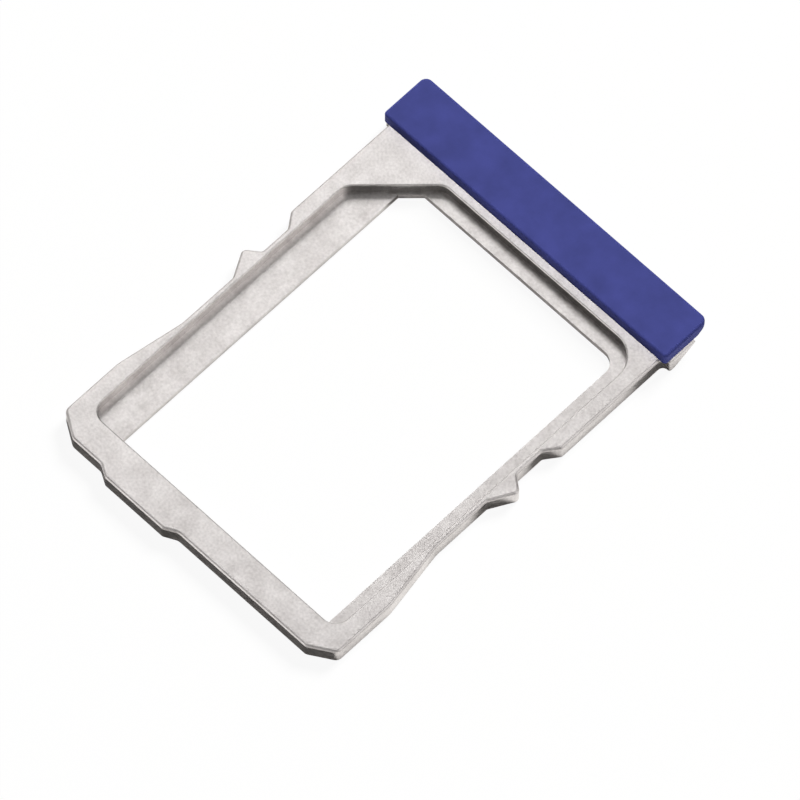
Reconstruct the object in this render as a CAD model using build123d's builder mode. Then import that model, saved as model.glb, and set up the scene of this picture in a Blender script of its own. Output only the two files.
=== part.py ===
"""Card tray of a phone: a thin metal frame that carries a micro card, with a slab-shaped cap on its head.

X runs along the cap, +Y from the leading edge to the cap, +Z up. The tray lies on its flat underside,
with the origin below the middle of its box. Millimetres.
"""

import os

from build123d import *

# Card that the pocket holds
card_width = 12.0
card_length = 15.0
card_corner_cut = 2.5
card_play = 0.075

# Plate of the frame, and the ledge that the card lies on
frame_thickness = 0.70
ledge_thickness = 0.25
ledge_wide = 1.43
ledge_narrow = 0.54
ledge_at_cap = 0.60
ledge_at_cut = 0.14
cut_blend = 0.6
pocket_front_radius = 0.60
pocket_back_radius = 1.10
opening_corner_radius = 0.60
outer_edge_radius = 0.10
edge_break = 0.06

# Leading edge: a straight bar with a long nub, and cut corners
front_bar = 1.21
nub_reach = 0.27
nub_length = 2.84
nub_offset = -2.45
nub_ramp_near = 0.52
nub_ramp_far = 0.48
nub_foot = 0.30
nub_tip_blend = 0.15
nub_root_near = 0.40
nub_root_far = 0.30
corner_cut_x = 1.0
corner_cut_y = 0.62
corner_blend = 0.3

# Side rails, from the leading edge to the cap: widths outside the pocket, and lengths
rail_front = 0.69
rail_slim = 0.22
rail_shoulder = 0.64
bump_reach = 0.58
shoulder_length = 4.90
shoulder_step = 0.58
notch_length = 1.26
bump_steep = 0.44
bump_slope = 1.05
slim_length = 2.51
flare_length = 2.75
flare_blend = 1.5
bump_tip_radius = 0.21
bump_root_radius = 0.18
step_blend = 0.16

# Head of the frame, which carries the cap, and the hull that trims both from below
rim_strip = 0.335
head_setback = 0.17
head_proud = 0.07
head_root_radius = 0.22
head_corner_radius = 0.10
head_depth = 1.28
hull_start = 0.10
hull_bulge = 0.09
hull_overrun = 0.50

# Cap
cap_half_length = 6.98
cap_depth = 2.17
cap_height = 0.53
cap_land = 0.15
cap_outer_radius = 0.30
cap_inner_radius = 0.15
cap_edge_radius = 0.10

# Pocket, and where things stand along Y
pocket_width = card_width + 2 * card_play
pocket_length = card_length + 2 * card_play
pocket_cut = card_corner_cut
pocket_half = pocket_width / 2
cut_shift = ledge_at_cut / 2**0.5
nub_left = nub_offset - nub_length / 2
nub_right = nub_offset + nub_length / 2
overall_length = nub_reach + front_bar + pocket_length + rim_strip + cap_depth
nub_y = -overall_length / 2
front_y = nub_y + nub_reach
pocket_front_y = front_y + front_bar
pocket_back_y = pocket_front_y + pocket_length
cap_front_y = pocket_back_y + rim_strip
cap_back_y = cap_front_y + cap_depth
head_y = cap_front_y + head_setback
head_back_y = head_y + head_depth
head_half_length = cap_half_length + head_proud
cap_top = frame_thickness + cap_height
hull_half_length = head_half_length + hull_overrun

# Side profile, from the cap to the leading edge
front_half = pocket_half + rail_front
slim_half = pocket_half + rail_slim
shoulder_half = pocket_half + rail_shoulder
bump_half = slim_half + bump_reach
step_top_y = cap_front_y - shoulder_length
step_foot_y = step_top_y - shoulder_step
bump_root_y = step_foot_y - notch_length
bump_tip_y = bump_root_y - bump_steep
bump_foot_y = bump_tip_y - bump_slope
flare_start_y = bump_foot_y - slim_length
flare_end_y = flare_start_y - flare_length

os.makedirs("parts", exist_ok=True)

# Pocket outline: one cut corner beside the cap, three round ones
with BuildSketch() as pocket_plan:
    with BuildLine():
        FilletPolyline(
            (-pocket_half, pocket_front_y),
            (pocket_half, pocket_front_y),
            (pocket_half, pocket_back_y),
            (-pocket_half + pocket_cut, pocket_back_y),
            (-pocket_half, pocket_back_y - pocket_cut),
            radius=[pocket_front_radius] * 2 + [pocket_back_radius] + [cut_blend] * 2,
            close=True,
        )
    make_face()

# Opening through the plate: it leaves a wide ledge, a narrow one, one by the cap and a sliver at the cut
with BuildSketch() as opening_plan:
    with BuildLine():
        FilletPolyline(
            (-pocket_half + ledge_wide, pocket_front_y),
            (pocket_half - ledge_narrow, pocket_front_y),
            (pocket_half - ledge_narrow, pocket_back_y - ledge_at_cap),
            (-pocket_half + ledge_wide, pocket_back_y - ledge_at_cap),
            radius=[0, 0, opening_corner_radius, 0],
            close=True,
        )
    make_face()
    add(pocket_plan.sketch, mode=Mode.INTERSECT)
    add(pocket_plan.sketch.moved(Location((cut_shift, -cut_shift))), mode=Mode.INTERSECT)

# Outline of the frame: one half, mirrored, and the nub on the leading edge
with BuildSketch() as frame_plan:
    with BuildLine():
        FilletPolyline(
            (0, front_y),
            (front_half - corner_cut_x, front_y),
            (front_half, front_y + corner_cut_y),
            (front_half, flare_end_y),
            (slim_half, flare_start_y),
            (slim_half, bump_foot_y),
            (bump_half, bump_tip_y),
            (slim_half, bump_root_y),
            (slim_half, step_foot_y),
            (shoulder_half, step_top_y),
            (shoulder_half, head_y),
            (head_half_length, head_y),
            (head_half_length, head_back_y),
            (0, head_back_y),
            radius=[
                corner_blend,
                corner_blend,
                flare_blend,
                flare_blend,
                bump_root_radius,
                bump_tip_radius,
                bump_root_radius,
                step_blend,
                step_blend,
                head_root_radius,
                head_corner_radius,
                0,
            ],
        )
        Line((0, head_back_y), (0, front_y))
    make_face()
    mirror(about=Plane.YZ)
    with BuildLine():
        FilletPolyline(
            (nub_left - nub_ramp_far - nub_foot, front_y + nub_foot),
            (nub_left - nub_ramp_far - nub_foot, front_y),
            (nub_left - nub_ramp_far, front_y),
            (nub_left, nub_y),
            (nub_right, nub_y),
            (nub_right + nub_ramp_near, front_y),
            (nub_right + nub_ramp_near + nub_foot, front_y),
            (nub_right + nub_ramp_near + nub_foot, front_y + nub_foot),
            radius=[0, 0, nub_root_far, nub_tip_blend, nub_tip_blend, nub_root_near, 0, 0],
            close=True,
        )
    make_face()

# Hull under the head and the cap: it curves up from the flat underside to the cap's outer edge
with BuildSketch(Plane.YZ) as hull_section:
    with BuildLine():
        hull_foot = (head_y + hull_start, 0)
        hull_top = (cap_back_y, cap_top - cap_land)
        SagittaArc(hull_foot, hull_top, -hull_bulge)
        Polyline(
            hull_top,
            (cap_back_y + hull_overrun, hull_top[1]),
            (cap_back_y + hull_overrun, -hull_overrun),
            (hull_foot[0], -hull_overrun),
            hull_foot,
        )
    make_face()

# Frame: the plate, the pocket down to the ledge, the opening through it
with BuildPart() as tray_frame:
    extrude(frame_plan.sketch, amount=frame_thickness)
    fillet(tray_frame.faces().sort_by(Axis.Z)[0].edges(), edge_break)
    with BuildSketch(Plane.XY.offset(ledge_thickness)):
        add(pocket_plan.sketch)
    extrude(amount=frame_thickness - ledge_thickness, mode=Mode.SUBTRACT)
    extrude(opening_plan.sketch, amount=ledge_thickness, mode=Mode.SUBTRACT)
    extrude(hull_section.sketch, amount=hull_half_length, both=True, mode=Mode.SUBTRACT)
    outer_rim = tray_frame.faces().sort_by(Axis.Z)[-1].outer_wire().edges()
    fillet(outer_rim.filter_by(lambda e: e.center().Y < head_y - outer_edge_radius), outer_edge_radius)
    pocket_rim = tray_frame.faces().sort_by(Axis.Z)[-1].inner_wires().edges()
    fillet(pocket_rim, edge_break)
tray_frame.part.label = "tray_frame"
export_step(tray_frame.part, "parts/tray_frame.step")

# Cap: a slab on the head, trimmed to the hull
with BuildPart() as end_cap:
    with BuildSketch(Plane.XY.offset(frame_thickness)):
        with BuildLine():
            FilletPolyline(
                (-cap_half_length, cap_front_y),
                (cap_half_length, cap_front_y),
                (cap_half_length, cap_back_y),
                (-cap_half_length, cap_back_y),
                radius=[cap_inner_radius] * 2 + [cap_outer_radius] * 2,
                close=True,
            )
        make_face()
    extrude(amount=cap_height)
    fillet(end_cap.faces().sort_by(Axis.Z)[-1].edges(), cap_edge_radius)
    extrude(hull_section.sketch, amount=hull_half_length, both=True, mode=Mode.SUBTRACT)
end_cap.part.label = "end_cap"
export_step(end_cap.part, "parts/end_cap.step")
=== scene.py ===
"""Studio picture of a phone's card tray.

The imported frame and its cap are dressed, lit and seen as in the photograph. Metres, in the tray's own frame.
"""

import logging
import math
from dataclasses import dataclass, field
from enum import Enum
from typing import Any

import bmesh
import bpy
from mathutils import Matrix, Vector

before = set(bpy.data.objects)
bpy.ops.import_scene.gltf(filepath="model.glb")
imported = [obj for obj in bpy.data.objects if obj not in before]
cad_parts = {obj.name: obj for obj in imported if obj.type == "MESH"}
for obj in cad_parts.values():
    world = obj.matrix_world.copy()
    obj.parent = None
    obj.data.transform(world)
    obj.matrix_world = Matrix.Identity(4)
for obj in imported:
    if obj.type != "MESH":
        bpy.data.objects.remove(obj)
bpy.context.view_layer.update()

LOG = logging.getLogger("card_tray")
MM = 0.001
IMAGE_SIDE_PX = 800
# A noise texture seldom leaves this span, so the span is stretched to the whole of what the noise drives
NOISE_LOW = 0.3
NOISE_HIGH = 0.7
# A Mix node has sockets of the same name for each kind of data, so they are told apart by number
MIX_FACTOR = 0
MIX_NUMBER_A = 2
MIX_NUMBER_B = 3
MIX_NUMBER_OUT = 0
MIX_COLOUR_A = 6
MIX_COLOUR_B = 7
MIX_COLOUR_OUT = 2


class Node(Enum):
    """The solids that the scene dresses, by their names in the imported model."""

    TRAY_FRAME = "tray_frame"
    END_CAP = "end_cap"


class LampTarget(Enum):
    """What a softbox is flagged to fall on."""

    TRAY = "lit_tray"
    FRAME = "lit_frame"
    CAP = "lit_cap"
    PAPER = "lit_paper"


def linear(hex_colour: str) -> tuple[float, float, float, float]:
    """Turns an sRGB colour into linear light.

    Args:
        hex_colour: six hex digits after a # sign.

    Returns:
        Red, green and blue in linear light, and an alpha of 1.
    """
    shares = [int(hex_colour[i : i + 2], 16) / 255 for i in (1, 3, 5)]
    red, green, blue = (s / 12.92 if s <= 0.04045 else ((s + 0.055) / 1.055) ** 2.4 for s in shares)
    return red, green, blue, 1.0


def grey(level: float) -> tuple[float, float, float, float]:
    """The same level in red, green and blue, and an alpha of 1."""
    return level, level, level, 1.0


def per_metre(grain_mm: float) -> float:
    """Texture scale of a pattern whose grains are grain_mm across."""
    return 1.0 / (grain_mm * MM)


def direction(azimuth_deg: float, elevation_deg: float) -> Vector:
    """Unit vector from the tray to a point around it.

    Args:
        azimuth_deg: 0 is on the side of -Y and 90 on the side of +X.
        elevation_deg: height over the floor's plane.

    Returns:
        The vector, in the tray's frame.
    """
    turn, lift = math.radians(azimuth_deg), math.radians(elevation_deg)
    return Vector((math.sin(turn) * math.cos(lift), -math.cos(turn) * math.cos(lift), math.sin(lift)))


def add_node(
    tree: bpy.types.NodeTree, kind: str, inputs: dict[str | int, Any] | None = None, **settings: Any
) -> bpy.types.Node:
    """Adds one node, with its settings, its values and its links.

    Args:
        tree: the node tree that takes it.
        kind: the node's type name.
        inputs: values by socket name or number; an output socket is linked, anything else is set.
        **settings: attributes of the node itself.

    Returns:
        The new node.
    """
    node = tree.nodes.new(kind)
    for name, value in settings.items():
        setattr(node, name, value)
    for key, value in (inputs or {}).items():
        if isinstance(value, bpy.types.NodeSocket):
            tree.links.new(value, node.inputs[key])
        else:
            node.inputs[key].default_value = value
    return node


def empty_material(name: str) -> bpy.types.Material:
    """Makes a node material with no nodes in it.

    Args:
        name: the material's name.

    Returns:
        The material.
    """
    material = bpy.data.materials.new(name)
    material.use_nodes = True
    material.node_tree.nodes.clear()
    return material


def white_where_seen(
    tree: bpy.types.NodeTree, camera_share: float, mirror_share: float
) -> bpy.types.NodeSocket:
    """Says how white the backdrop is for the ray that meets it.

    Args:
        tree: the node tree of the paper or of the room.
        camera_share: share of plain white for what the camera sees.
        mirror_share: share of plain white for what metal or glass shows.

    Returns:
        The socket with the share.
    """
    ray = add_node(tree, "ShaderNodeLightPath").outputs
    seen = add_node(
        tree, "ShaderNodeMath", {0: ray["Is Camera Ray"], 1: camera_share}, operation="MULTIPLY"
    ).outputs[0]
    mirrored = add_node(
        tree,
        "ShaderNodeMath",
        {0: ray["Is Glossy Ray"], 1: ray["Is Transmission Ray"]},
        operation="MAXIMUM",
    ).outputs[0]
    return add_node(
        tree, "ShaderNodeMath", {0: mirrored, 1: mirror_share, 2: seen}, operation="MULTIPLY_ADD"
    ).outputs[0]


@dataclass(frozen=True)
class BlastedSteel:
    """Stainless steel, pressed from a plate, tumbled and bead-blasted on its flat faces.

    The eye sees a pale grey with a soft, wide shine and a fine grit on the flat faces, a smoother shine on
    the cut sides, where the plate was sheared, and matt worn edges between them. The side of the opening by
    the cap is dull, because there the punch tore the plate.
    """

    name: str = "stainless_steel_bead_blasted"
    pale_hex: str = "#DFDBD9"
    deep_hex: str = "#BCB7B5"
    face_roughness: float = 0.40
    side_roughness: float = 0.22
    edge_roughness: float = 0.60
    torn_roughness: float = 0.95
    roughness_spread: float = 0.10
    # Blasting grit of 0.05 mm is drawn twice as coarse, so that a grain still covers about three pixels
    grit_mm: float = 0.10
    grit_depth_mm: float = 0.0016
    grit_detail: float = 2.0
    cloud_mm: float = 0.8
    cloud_detail: float = 3.0
    # How far a surface looks up, from 0 for straight down to 1 for straight up, where each kind of it lies
    face_below: float = 0.35
    side_from: float = 0.48
    side_to: float = 0.56
    edge_from: float = 0.70
    edge_to: float = 0.997
    face_above: float = 0.9995
    # Box around the torn side of the opening, up to the ledge that the opening is punched through
    torn_middle_mm: tuple[float, float, float] = (0.4, 6.2, 0.0)
    torn_half_mm: tuple[float, float, float] = (5.2, 0.4, 0.249)

    def material(self) -> bpy.types.Material:
        """Mottles the steel, pits it with grit and shares out its roughness.

        Returns:
            The material.
        """
        made = empty_material(self.name)
        tree = made.node_tree
        place = add_node(tree, "ShaderNodeTexCoord").outputs["Object"]
        grit = add_node(
            tree,
            "ShaderNodeTexNoise",
            {"Vector": place, "Scale": per_metre(self.grit_mm), "Detail": self.grit_detail},
        ).outputs["Fac"]
        cloud = add_node(
            tree,
            "ShaderNodeTexNoise",
            {"Vector": place, "Scale": per_metre(self.cloud_mm), "Detail": self.cloud_detail},
        ).outputs["Fac"]
        blend = add_node(tree, "ShaderNodeMath", {0: grit, 1: cloud}, operation="ADD").outputs[0]
        tone_share = add_node(
            tree,
            "ShaderNodeMapRange",
            {"Value": blend, "From Min": 2 * NOISE_LOW, "From Max": 2 * NOISE_HIGH},
        ).outputs["Result"]
        tone = add_node(
            tree,
            "ShaderNodeMix",
            {
                MIX_FACTOR: tone_share,
                MIX_COLOUR_A: linear(self.deep_hex),
                MIX_COLOUR_B: linear(self.pale_hex),
            },
            data_type="RGBA",
        ).outputs[MIX_COLOUR_OUT]
        unevenness = add_node(
            tree,
            "ShaderNodeMapRange",
            {
                "Value": grit,
                "From Min": NOISE_LOW,
                "From Max": NOISE_HIGH,
                "To Min": -self.roughness_spread / 2,
                "To Max": self.roughness_spread / 2,
            },
        ).outputs["Result"]
        evenly = add_node(
            tree,
            "ShaderNodeMix",
            {
                MIX_FACTOR: self.torn_share(tree, place),
                MIX_NUMBER_A: self.roughness_by_slope(tree),
                MIX_NUMBER_B: self.torn_roughness,
            },
        ).outputs[MIX_NUMBER_OUT]
        rough = add_node(tree, "ShaderNodeMath", {0: evenly, 1: unevenness}, operation="ADD").outputs[0]
        relief = add_node(
            tree,
            "ShaderNodeBump",
            {"Height": grit, "Distance": self.grit_depth_mm * MM, "Strength": 1.0},
        ).outputs["Normal"]
        shader = add_node(
            tree,
            "ShaderNodeBsdfPrincipled",
            {"Base Color": tone, "Metallic": 1.0, "Roughness": rough, "Normal": relief},
        ).outputs["BSDF"]
        add_node(tree, "ShaderNodeOutputMaterial", {"Surface": shader})
        return made

    def torn_share(self, tree: bpy.types.NodeTree, place: bpy.types.NodeSocket) -> bpy.types.NodeSocket:
        """Tells the torn side of the punched opening, which lies by the cap, from the rest of the frame.

        Args:
            tree: the steel's node tree.
            place: the socket with the place on the frame.

        Returns:
            The socket with 1 at the torn side and 0 elsewhere.
        """
        in_box = add_node(
            tree,
            "ShaderNodeMapping",
            {
                "Vector": place,
                "Location": [mm * MM for mm in self.torn_middle_mm],
                "Scale": [mm * MM for mm in self.torn_half_mm],
            },
            vector_type="TEXTURE",
        ).outputs["Vector"]
        away = add_node(tree, "ShaderNodeVectorMath", {0: in_box}, operation="ABSOLUTE").outputs["Vector"]
        aside, along, above = add_node(tree, "ShaderNodeSeparateXYZ", {"Vector": away}).outputs
        flat = add_node(tree, "ShaderNodeMath", {0: aside, 1: along}, operation="MAXIMUM").outputs[0]
        farthest = add_node(tree, "ShaderNodeMath", {0: flat, 1: above}, operation="MAXIMUM").outputs[0]
        return add_node(tree, "ShaderNodeMath", {0: farthest, 1: 1.0}, operation="LESS_THAN").outputs[0]

    def roughness_by_slope(self, tree: bpy.types.NodeTree) -> bpy.types.NodeSocket:
        """Tells flat faces, cut sides and rounded upper edges apart by how far a surface looks up.

        Args:
            tree: the steel's node tree.

        Returns:
            The socket with the roughness.
        """
        normal = add_node(tree, "ShaderNodeNewGeometry").outputs["Normal"]
        upward = add_node(tree, "ShaderNodeSeparateXYZ", {"Vector": normal}).outputs["Z"]
        share = add_node(
            tree, "ShaderNodeMapRange", {"Value": upward, "From Min": -1.0, "From Max": 1.0}
        ).outputs["Result"]
        ramp = add_node(tree, "ShaderNodeValToRGB", {"Fac": share})
        stops = ramp.color_ramp.elements
        stops[0].position = self.face_below
        stops[0].color = grey(self.face_roughness)
        stops[1].position = 1.0
        stops[1].color = grey(self.face_roughness)
        for position, roughness in (
            (self.side_from, self.side_roughness),
            (self.side_to, self.side_roughness),
            (self.edge_from, self.edge_roughness),
            (self.edge_to, self.edge_roughness),
            (self.face_above, self.face_roughness),
        ):
            stops.new(position).color = grey(roughness)
        return ramp.outputs["Color"]


@dataclass(frozen=True)
class MouldedPlastic:
    """Polycarbonate and ABS, moulded in a finely spark-eroded tool.

    The eye sees a deep blue-violet with almost no gloss, slightly uneven in tone, with an eggshell grain.
    """

    name: str = "pc_abs_moulded_matt"
    pale_hex: str = "#555BAD"
    deep_hex: str = "#4D539D"
    roughness: float = 0.58
    ior: float = 1.55
    gloss: float = 0.05
    # A spark-eroded grain of 0.03 mm is drawn twice as coarse, so that it shows at all
    grain_mm: float = 0.06
    grain_depth_mm: float = 0.003
    grain_detail: float = 1.0
    cloud_mm: float = 0.9
    cloud_detail: float = 3.0

    def material(self) -> bpy.types.Material:
        """Mottles the plastic and grains it.

        Returns:
            The material.
        """
        made = empty_material(self.name)
        tree = made.node_tree
        place = add_node(tree, "ShaderNodeTexCoord").outputs["Object"]
        grain = add_node(
            tree,
            "ShaderNodeTexNoise",
            {"Vector": place, "Scale": per_metre(self.grain_mm), "Detail": self.grain_detail},
        ).outputs["Fac"]
        cloud = add_node(
            tree,
            "ShaderNodeTexNoise",
            {"Vector": place, "Scale": per_metre(self.cloud_mm), "Detail": self.cloud_detail},
        ).outputs["Fac"]
        tone_share = add_node(
            tree, "ShaderNodeMapRange", {"Value": cloud, "From Min": NOISE_LOW, "From Max": NOISE_HIGH}
        ).outputs["Result"]
        tone = add_node(
            tree,
            "ShaderNodeMix",
            {
                MIX_FACTOR: tone_share,
                MIX_COLOUR_A: linear(self.deep_hex),
                MIX_COLOUR_B: linear(self.pale_hex),
            },
            data_type="RGBA",
        ).outputs[MIX_COLOUR_OUT]
        relief = add_node(
            tree,
            "ShaderNodeBump",
            {"Height": grain, "Distance": self.grain_depth_mm * MM, "Strength": 1.0},
        ).outputs["Normal"]
        shader = add_node(
            tree,
            "ShaderNodeBsdfPrincipled",
            {
                "Base Color": tone,
                "Roughness": self.roughness,
                "IOR": self.ior,
                "Specular IOR Level": self.gloss,
                "Normal": relief,
            },
        ).outputs["BSDF"]
        add_node(tree, "ShaderNodeOutputMaterial", {"Surface": shader})
        return made


@dataclass(frozen=True)
class PaperSweep:
    """Matt white paper under the tray.

    The eye sees an even white, with a faint shadow beside the tray.
    """

    name: str = "white_paper_matt"
    paper_hex: str = "#F4F3F1"
    # Shares of plain white over the lit paper, for the camera and for what the steel mirrors
    white_share: float = 0.93
    mirror_share: float = 0.03

    def material(self) -> bpy.types.Material:
        """Lays plain white over the lit paper.

        Returns:
            The material.
        """
        made = empty_material(self.name)
        tree = made.node_tree
        colour = linear(self.paper_hex)
        paper = add_node(tree, "ShaderNodeBsdfDiffuse", {"Color": colour}).outputs["BSDF"]
        white = add_node(tree, "ShaderNodeEmission", {"Strength": 1.0}).outputs["Emission"]
        share = white_where_seen(tree, self.white_share, self.mirror_share)
        shader = add_node(tree, "ShaderNodeMixShader", {0: share, 1: paper, 2: white}).outputs["Shader"]
        add_node(tree, "ShaderNodeOutputMaterial", {"Surface": shader})
        return made


@dataclass
class PackedPiece:
    """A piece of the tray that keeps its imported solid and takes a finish."""

    node: Node
    finish: BlastedSteel | MouldedPlastic

    def dress(self) -> bpy.types.Object:
        """Puts the finish into every material slot of the solid.

        Returns:
            The solid's object.
        """
        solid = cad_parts[self.node.value]
        material = self.finish.material()
        for slot in solid.material_slots:
            slot.material = material
        LOG.info("dressed %s in %s", self.node.value, self.finish.name)
        return solid


@dataclass
class TrayFrame(PackedPiece):
    """The metal frame that carries the card."""

    node: Node = Node.TRAY_FRAME
    finish: BlastedSteel = field(default_factory=BlastedSteel)


@dataclass
class EndCap(PackedPiece):
    """The slab on the frame's head."""

    node: Node = Node.END_CAP
    finish: MouldedPlastic = field(default_factory=MouldedPlastic)


@dataclass(frozen=True)
class Softbox:
    """A square lamp that faces the tray and lights nothing but its target.

    Its level is the light that arrives at the tray, in watts per square metre: pi makes white paper white.
    Where blockers are named, nothing else throws a shadow in its light.
    """

    name: str
    target: LampTarget
    azimuth_deg: float
    elevation_deg: float
    level: float
    side_m: float
    blockers: LampTarget | None = None
    distance_m: float = 1.50

    def place(self, groups: dict[LampTarget, bpy.types.Collection]) -> bpy.types.Object:
        """Makes the lamp and turns it to the tray.

        Args:
            groups: the objects of each target.

        Returns:
            The lamp's object.
        """
        lamp = bpy.data.lights.new(self.name, "AREA")
        lamp.size = self.side_m
        lamp.energy = math.pi * self.distance_m**2 * self.level
        box = bpy.data.objects.new(self.name, lamp)
        bpy.context.scene.collection.objects.link(box)
        towards = direction(self.azimuth_deg, self.elevation_deg)
        box.location = towards * self.distance_m
        box.rotation_mode = "QUATERNION"
        box.rotation_quaternion = towards.to_track_quat("Z", "Y")
        box.visible_camera = False
        box.light_linking.receiver_collection = groups[self.target]
        if self.blockers:
            box.light_linking.blocker_collection = groups[self.blockers]
            # Mirror rays from the tray would still stop at a piece that is no blocker
            lamp.cycles.use_multiple_importance_sampling = False
        return box


@dataclass
class Studio:
    """Floor, lamps and surroundings."""

    floor_half_m: float = 3.0
    # Strength of the room's even light, and its shares of plain white for the camera and for mirrors
    fill: float = 0.02
    white_share: float = 1.0
    mirror_share: float = 0.03
    paper: PaperSweep = field(default_factory=PaperSweep)
    softboxes: tuple[Softbox, ...] = (
        # Main light, near the direction that the flat faces mirror to the camera
        Softbox(
            "left_softbox",
            LampTarget.TRAY,
            azimuth_deg=238.0,
            elevation_deg=41.0,
            level=1.52,
            side_m=0.80,
            blockers=LampTarget.FRAME,
        ),
        # On the other side of that direction, so that the flat faces are even from end to end
        Softbox(
            "back_softbox",
            LampTarget.TRAY,
            azimuth_deg=181.0,
            elevation_deg=68.0,
            level=0.18,
            side_m=0.60,
            blockers=LampTarget.FRAME,
        ),
        # Shine on the steel's right-hand edges
        Softbox(
            "right_softbox",
            LampTarget.FRAME,
            azimuth_deg=128.0,
            elevation_deg=58.0,
            level=0.45,
            side_m=0.90,
        ),
        # Light on the steel's right-hand walls
        Softbox(
            "low_right_softbox",
            LampTarget.FRAME,
            azimuth_deg=112.0,
            elevation_deg=32.0,
            level=1.10,
            side_m=0.60,
        ),
        # Shine on the steel's rounded front edge
        Softbox(
            "front_softbox",
            LampTarget.FRAME,
            azimuth_deg=340.0,
            elevation_deg=12.0,
            level=1.30,
            side_m=0.53,
        ),
        Softbox(
            "cap_softbox",
            LampTarget.CAP,
            azimuth_deg=225.0,
            elevation_deg=75.0,
            level=1.18,
            side_m=0.75,
        ),
        Softbox(
            "paper_softbox",
            LampTarget.PAPER,
            azimuth_deg=184.0,
            elevation_deg=40.0,
            level=5.40,
            side_m=0.50,
        ),
    )

    def floor(self) -> bpy.types.Object:
        """Lays the paper under the tray.

        Returns:
            The floor's object.
        """
        mesh = bpy.data.meshes.new("paper_floor")
        sheet = bmesh.new()
        bmesh.ops.create_grid(sheet, x_segments=1, y_segments=1, size=self.floor_half_m)
        sheet.to_mesh(mesh)
        sheet.free()
        laid = bpy.data.objects.new("paper_floor", mesh)
        bpy.context.scene.collection.objects.link(laid)
        mesh.materials.append(self.paper.material())
        return laid

    def surroundings(self) -> None:
        """Gives the room a low even light, white for the camera and a little of that white for mirrors."""
        world = bpy.data.worlds.new("studio_room")
        world.use_nodes = True
        tree = world.node_tree
        tree.nodes.clear()
        dim = add_node(tree, "ShaderNodeBackground", {"Strength": self.fill}).outputs["Background"]
        white = add_node(tree, "ShaderNodeBackground", {"Strength": 1.0}).outputs["Background"]
        share = white_where_seen(tree, self.white_share, self.mirror_share)
        shown = add_node(tree, "ShaderNodeMixShader", {0: share, 1: dim, 2: white})
        add_node(tree, "ShaderNodeOutputWorld", {"Surface": shown.outputs["Shader"]})
        bpy.context.scene.world = world

    def build(self, tray_frame: bpy.types.Object, end_cap: bpy.types.Object) -> None:
        """Sets up the floor, the lamps and the room.

        Args:
            tray_frame: the frame's solid.
            end_cap: the cap's solid.
        """
        lit = {
            LampTarget.TRAY: (tray_frame, end_cap),
            LampTarget.FRAME: (tray_frame,),
            LampTarget.CAP: (end_cap,),
            LampTarget.PAPER: (self.floor(),),
        }
        groups = {target: bpy.data.collections.new(target.value) for target in lit}
        for target, objects in lit.items():
            for thing in objects:
                groups[target].objects.link(thing)
        for box in self.softboxes:
            box.place(groups)
        self.surroundings()
        LOG.info("laid the paper and hung %d softboxes", len(self.softboxes))


@dataclass
class PhotoCamera:
    """The camera, placed as the photograph was taken.

    The aim is a point of the rim; it stands left of and above the middle of the image.
    """

    azimuth_deg: float = 44.707
    elevation_deg: float = 62.585
    distance_mm: float = 434.8
    focal_px: float = 12374.0
    aim_mm: tuple[float, float, float] = (0.0, -0.0475, 0.70)
    aim_px: tuple[float, float] = (375.0, 374.63)
    sensor_mm: float = 36.0
    nearest_m: float = 0.01
    farthest_m: float = 20.0

    def place(self) -> bpy.types.Object:
        """Makes the camera and gives it to the scene.

        Returns:
            The camera's object.
        """
        lens = bpy.data.cameras.new("photo_camera")
        lens.sensor_width = self.sensor_mm
        lens.lens = self.focal_px / IMAGE_SIDE_PX * self.sensor_mm
        lens.clip_start = self.nearest_m
        lens.clip_end = self.farthest_m
        camera = bpy.data.objects.new("photo_camera", lens)
        bpy.context.scene.collection.objects.link(camera)
        back = direction(self.azimuth_deg, self.elevation_deg)
        camera.rotation_mode = "QUATERNION"
        camera.rotation_quaternion = back.to_track_quat("Z", "Y")
        right = camera.rotation_quaternion @ Vector((1.0, 0.0, 0.0))
        up = camera.rotation_quaternion @ Vector((0.0, 1.0, 0.0))
        px_m = self.distance_mm / self.focal_px * MM
        aside = (IMAGE_SIDE_PX / 2 - self.aim_px[0]) * px_m
        above = (self.aim_px[1] - IMAGE_SIDE_PX / 2) * px_m
        away = back * self.distance_mm * MM
        camera.location = Vector(self.aim_mm) * MM + away + right * aside + up * above
        bpy.context.scene.camera = camera
        LOG.info("placed the camera")
        return camera


def main() -> None:
    """Dresses the tray, builds the studio and places the camera."""
    logging.basicConfig(level=logging.INFO, format="%(name)s: %(message)s")
    tray_frame = TrayFrame().dress()
    end_cap = EndCap().dress()
    Studio().build(tray_frame, end_cap)
    PhotoCamera().place()
    bpy.context.scene.view_settings.view_transform = "Standard"


if __name__ == "__main__":
    main()
